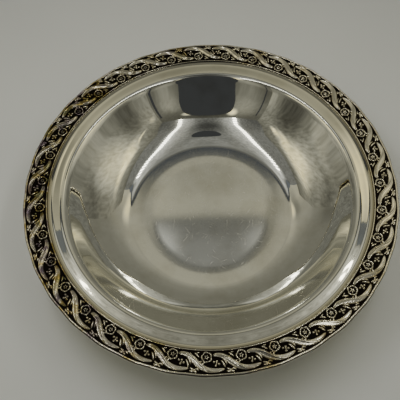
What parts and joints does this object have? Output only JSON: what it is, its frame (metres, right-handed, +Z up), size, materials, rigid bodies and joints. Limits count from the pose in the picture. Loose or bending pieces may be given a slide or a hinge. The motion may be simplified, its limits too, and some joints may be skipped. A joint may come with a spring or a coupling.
{
  "type": "footed serving bowl",
  "caption": "Round shallow metal bowl with a rolled lip, a narrow flange, an applied relief border of leaves and flowers, and a low foot ring.",
  "frame": {"origin": "centre of the foot ring's underside, on the surface that the bowl stands on", "axes": "+Z up along the bowl's axis, +X and +Y level; the picture looks along +Y and down"},
  "size_m": [0.24, 0.2398, 0.0452],
  "materials": {
    "polished_plate": "polished",
    "oxidised_plate": "satin",
    "solder": "satin"
  },
  "bodies": {
    "root": {"bowl_body": "polished_plate", "rim_border": "oxidised_plate", "foot_ring": "polished_plate", "foot_solder_outer": "solder", "foot_solder_inner": "solder", "rim_solder": "solder"}
  },
  "joints": []
}
